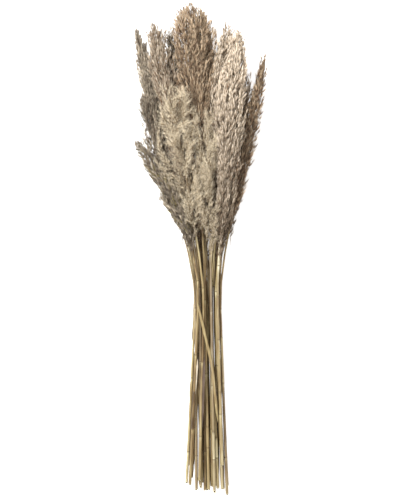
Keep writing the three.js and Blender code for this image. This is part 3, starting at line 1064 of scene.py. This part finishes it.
def culm_line(culm, rng, shade):
    weathered = rng.uniform(-0.9, 0.7)
    heights = [np.arange(culm.cut, culm.top, CULM_STEP), [culm.top]]
    sleeves = []
    for joint in culm.joints:
        heights.append(joint + JOINT_DETAIL)
        if rng.uniform() < SLEEVE_CHANCE:
            sleeve_top = joint + rng.uniform(35, 105) * MM
            sleeves.append((joint, sleeve_top, rng.uniform(-0.28, 0.28)))
            heights.append([sleeve_top - 0.2 * MM, sleeve_top + 0.2 * MM])
    ys = np.unique(np.concatenate(heights).round(6))
    ys = ys[(ys >= culm.cut) & (ys <= culm.top)]
    ys = ys[np.concatenate([[True], np.diff(ys) > 0.15 * MM])]
    thick, tone, mark = culm.radius(ys), np.full(len(ys), shade), np.zeros(len(ys))
    tone += 0.05 * np.sin(ys * rng.uniform(8, 20) + rng.uniform(0, 6))
    tone += PALE_FOOT * np.clip(1 - (ys - culm.cut) / PALE_FOOT_LENGTH, 0, 1)
    tone += PALE_TOP * np.clip((ys - PALE_TOP_FROM) / PALE_TOP_LENGTH, 0, 1)
    for joint in culm.joints:
        off = (ys - joint) / MM
        thick *= 1 + 0.13 * np.exp(-(off / 1.6) ** 2) - 0.05 * np.exp(-((off - 1.6) / 0.6) ** 2)
        mark = np.maximum(mark, 0.85 * np.exp(-(off / 0.8) ** 2))
        tone += 0.16 * np.exp(-((off + 4) / 4) ** 2)
    for low, high, change in sleeves:
        sleeved = (ys > low + 0.6 * MM) & (ys < high)
        thick[sleeved] += SLEEVE_THICKNESS
        tone[sleeved] += change
        edge = np.abs(ys - high) < 0.6 * MM
        mark[edge] = np.maximum(mark[edge], 0.5)
    line = Lines("thick", "shade", "mark", "weathered")
    line.add(culm.middle(ys), thick=thick, shade=tone, mark=mark,
             weathered=np.clip(weathered + 0.25 * np.sin(9 * ys + weathered * 40), 0, 1))
    return line


# %% [markdown]
# ## Twenty culms
#
# Secateurs leave a slanted cut, each at its own slant. Sloping the swept circle would slope the whole
# straw, so only the points near the foot are shifted along it, more on one side than on the other.

# %% Sweep every culm
CULM_SIDES = 14
CUT_FADE = 14 * MM
SHADES = {"stem_17": 0.42, "stem_18": 0.52, "stem_19": 0.56, "stem_20": 0.62, "stem_16": 0.38,
          "stem_13": 0.46, "stem_14": 0.54, "stem_15": 0.58, "stem_12": 0.44, "stem_11": 0.5}
SLOPES = {"stem_20": 0.7, "stem_19": 1.3, "stem_12": 1.6, "stem_13": 0.6, "stem_14": 0.6}


def slant_cut(piece, culm, slope, turn):
    """Shears the cut end, so that it looks cut at an angle."""
    at = points_of(piece.data)
    off = at[:, [0, 2]] - culm.middles[0]
    along = off[:, 0] * math.cos(turn) + off[:, 1] * math.sin(turn) + culm.radii[0]
    near = np.clip(1 - (at[:, 1] - culm.cut) / CUT_FADE, 0, 1)
    at[:, 1] += near * slope * along
    move_points(piece.data, at)


culms = {name: Culm(name) for name in sorted(frame["nodes"]) if name.startswith("stem")}
total = 0
for number, (name, culm) in enumerate(culms.items()):
    rng = np.random.default_rng(400 + number)
    shade = SHADES.get(name, rng.uniform(0.25, 0.7))
    line = culm_line(culm, rng, shade).mesh(name + " line")
    piece = dress(name + "_straw", line, culm_tree, {
        "Sides": CULM_SIDES, "Bore share": float(culm.bore / culm.radii[0]),
        "Bore depth": float(culm.bore_depth), "Cut below": float(culm.cut + 1 * MM), "Finish": straw})
    slant_cut(piece, culm, SLOPES.get(name, rng.uniform(0.3, 1.1)), math.pi / 2 + rng.normal(0, 0.6))
    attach(piece, "root")
    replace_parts(piece, name)
    faces = triangles(piece.data)
    total += faces
    print(name, "joints at", (1000 * culm.joints).round(), faces, "triangles")
print("all culms:", total, "triangles")

# %% [markdown]
# ## Dry leaf
#
# A dried leaf is grey brown and dull, with fine veins and blotches where it rotted. Noise drawn out along
# it gives the veins, and round noise the blotches.

# %% Leaf finish
def leaf_finish():
    finish, tree, shader = new_finish("dry leaf", 0.7, Specular_IOR_Level=0.25, Sheen_Weight=0.1)
    place = tree.add("ShaderNodeTexCoord").outputs["Object"]
    veins = streaks(tree, place, 0.7 * MM, 50 * MM, 2.0)
    blotch = tree.add("ShaderNodeTexNoise", {"Vector": place, "Scale": 60.0, "Detail": 3.0})
    worn = tree.math("MULTIPLY_ADD", veins, 0.45, tree.carried("shade"))
    worn = tree.math("MULTIPLY_ADD", blotch, 0.35, worn)
    colour = tree.ramp(worn, [
        (0.2, (58, 46, 38)), (0.5, (104, 88, 76)), (0.75, (158, 142, 122)), (1.0, (214, 202, 180))])
    wire(colour, shader.inputs["Base Color"])
    groove(tree, shader, veins, 0.6, 0.3 * MM)
    return finish


dry_leaf = leaf_finish()
print("leaf finish:", len(dry_leaf.node_tree.nodes), "nodes")

# %% [markdown]
# ## Leaf straps
#
# Three dried leaves are caught between the culms: long straps, curled along their edges, rippled and
# narrow at the ends. A cloth simulation would let them hang like wet cloth, so a leaf is drawn as a sheet
# of small faces along a path and then given a thickness.

# %% Leaves
ACROSS = 7
LEAF_CURL = 1.0 * MM
LEAF_THICKNESS = 0.35 * MM
LEAF_SHADES = {"leaf_01": 0.0, "leaf_02": 0.22, "leaf_03": 0.5}


class Straps:
    """Collects leaf straps, each a sheet of small faces along a path."""

    def __init__(self):
        self.points, self.faces, self.shades = [], [], []

    def add(self, path, halves, rng, shade, curl=LEAF_CURL):
        first, rows = len(self.points), len(path)
        waves = rng.uniform(0, 6.3, 3)
        for k, (middle, half) in enumerate(zip(path, halves)):
            t = k / (rows - 1)
            twist = 0.35 * math.sin(5 * t + waves[0])
            for j in range(ACROSS):
                e = 2 * j / (ACROSS - 1) - 1
                x = e * half * (1 + 0.10 * math.sin(31 * t + 2 * waves[1] + 3 * e))
                lift = curl * e * e + 0.25 * MM * math.sin(18 * t + waves[2] + 2 * e)
                self.points.append((middle[0] + x * math.cos(twist),
                                    middle[1] + half * 0.3 * math.sin(4 * e),
                                    middle[2] + lift + abs(x * math.sin(twist))))
        self.faces += [(first + r * ACROSS + c, first + r * ACROSS + c + 1,
                        first + (r + 1) * ACROSS + c + 1, first + (r + 1) * ACROSS + c)
                       for r in range(rows - 1) for c in range(ACROSS - 1)]
        self.shades += [shade] * (rows * ACROSS)

    def build(self, name, finish):
        mesh = new_mesh(name, self.points, [], self.faces, {"shade": self.shades})
        mesh.polygons.foreach_set("use_smooth", [True] * len(self.faces))
        mesh.materials.append(finish)
        leaf = put_in_scene(name, mesh)
        wall = leaf.modifiers.new("thickness", "SOLIDIFY")
        wall.thickness = LEAF_THICKNESS
        wall.offset = 1
        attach(leaf, "root")
        return leaf


for number, (name, shade) in enumerate(LEAF_SHADES.items()):
    rings = corners_by_height(name)
    ring_y = np.array([y for y, _ in rings])
    low = np.array([corners.min(0) for _, corners in rings])
    high = np.array([corners.max(0) for _, corners in rings])
    t = np.linspace(0, 1, 60)
    ys = ring_y[0] + (ring_y[-1] - ring_y[0]) * t
    half = np.interp(ys, ring_y, (high[:, 0] - low[:, 0]) / 2)
    taper = np.minimum(1, 0.25 + 3.0 * t) * np.minimum(1, 0.12 + 5 * (1 - t))
    path = np.stack([np.interp(ys, ring_y, (high[:, 0] + low[:, 0]) / 2), ys,
                     np.interp(ys, ring_y, low[:, 1]) + 0.2 * MM], axis=-1)
    strap = Straps()
    strap.add(path, half * taper, np.random.default_rng(70 + number), shade)
    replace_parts(strap.build(name + "_strap", dry_leaf), name)
    print(name, "length", round(1000 * (ys[-1] - ys[0])), "mm")

# %% [markdown]
# ## Shed strips and painted shade between the culms
#
# Sheaths split into strips as they dry, and the narrow ones close the gaps between the culms. Every other
# strip is broad and dark and lies low on the table: painted shade, a dark sheet put where the gaps between
# the culms are in shade. They are too thin and too many for the CAD model, so they ride along as one
# extra piece. Each is a strap that wanders a little across the bundle, whose two sides are read from the
# culms.

# %% Shed strips and painted shade between the culms
# Where a strip lies, as a share of the bundle's width, and from where to where along it, in mm.
STRIPS = [(0.07, -462, -200), (0.12, -330, -20), (0.20, -440, -60), (0.27, -480, -240), (0.33, -470, 40),
          (0.38, -470, -120), (0.45, -482, 60), (0.48, -490, -200), (0.55, -486, 20), (0.58, -460, -90),
          (0.64, -484, 50), (0.68, -440, -180), (0.46, -150, 70), (0.33, -140, 60), (0.62, -120, 70),
          (0.73, -430, -60), (0.77, -486, 40), (0.83, -480, -150), (0.88, -470, 50), (0.93, -450, -160),
          (0.25, -200, 50), (0.56, -360, -40), (0.05, -200, 60), (0.95, -180, 40), (0.12, -60, 90),
          (0.88, -80, 80), (0.40, -60, 90), (0.75, -90, 90)]
levels = np.linspace(-0.5, 0.1, 40)
across = np.array([[c.middle(y)[0] for c in culms.values()] for y in levels])
left_side, right_side = across.min(1), across.max(1)
strips = Straps()
rng = np.random.default_rng(90)
for k, (share, start, end) in enumerate(STRIPS):
    ys = np.linspace(start, end, 50) * MM
    t = np.linspace(0, 1, 50)
    drift = share + 0.05 * np.sin(4 * t + rng.uniform(0, 6))
    xs = np.interp(ys, levels, left_side) * (1 - drift) + np.interp(ys, levels, right_side) * drift
    # Every other strip is broad and dark and lies low: a dark sheet for painted shade between the culms.
    broad = k % 2 == 0
    rise = np.interp(ys, [-0.5, 0.1], [0, 8 * MM])
    zs = 1.2 * MM + rise + (0 if broad else rng.uniform(1.5, 6) * MM)
    half = (rng.uniform(3.4, 5.0) if broad else rng.uniform(1.3, 2.4)) * MM
    half = half * np.minimum(1, 0.2 + 10 * t) * np.minimum(1, 0.1 + 4 * (1 - t))
    shade = rng.uniform(0.12, 0.36) if broad else rng.uniform(0.2, 0.65)
    strips.add(np.stack([xs, ys, zs], axis=-1), half, rng, shade, curl=0.4 * half.max())
t = np.linspace(0, 1, 12)
shard = np.stack([-6 * MM + 7 * MM * t, (-467 - 12 * t) * MM, np.full(12, 1.0) * MM], axis=-1)
strips.add(shard, 1.4 * MM * np.minimum(1, 0.1 + 2 * (1 - t)), rng, 0.02, curl=0.4 * MM)
print(len(STRIPS), "strips and a shard")

# %% [markdown]
# ## A sheath that slants across the culms
#
# One long sheath lies on top and crosses the others. It is stiff, so it doesn't dip between the culms: it
# rests on the highest culm within a short stretch, and those heights are then smoothed.

# %% The slanting sheath
SHEATH_Y = [-350 * MM, -230 * MM, -100 * MM]
SHEATH_X = [37 * MM, 24 * MM, -6 * MM]
SHEATH_HALF = 2.7 * MM
SHEATH_CURL = -1.5 * MM
REACH, BRIDGE, SOFTEN = 2.5 * MM, 8, 6

t = np.linspace(0, 1, 80)
ys = np.interp(t, [0, 1], [SHEATH_Y[0], SHEATH_Y[-1]])
xs = np.interp(ys, SHEATH_Y, SHEATH_X)
tops = np.max([np.where(np.abs(c.middle(ys)[:, 0] - xs) < c.radius(ys) + REACH,
                        c.middle(ys)[:, 2] + c.radius(ys), 0) for c in culms.values()], axis=0)
resting = np.array([tops[max(0, k - BRIDGE):k + BRIDGE + 1].max() for k in range(len(t))])
window = 2 * SOFTEN + 1
resting = np.convolve(np.pad(resting, SOFTEN, "edge"), np.full(window, 1 / window), "valid")
half = SHEATH_HALF * np.minimum(1, 0.1 + 12 * t) * np.minimum(1, 0.1 + 8 * (1 - t))
strips.add(np.stack([xs, ys, resting + 1.6 * MM], axis=-1), half, rng, 0.55, curl=SHEATH_CURL)
strips.build("shed_leaf_strips", straw)
print("sheath rests", (1000 * resting.min()).round(), "to", (1000 * resting.max()).round(), "mm up")
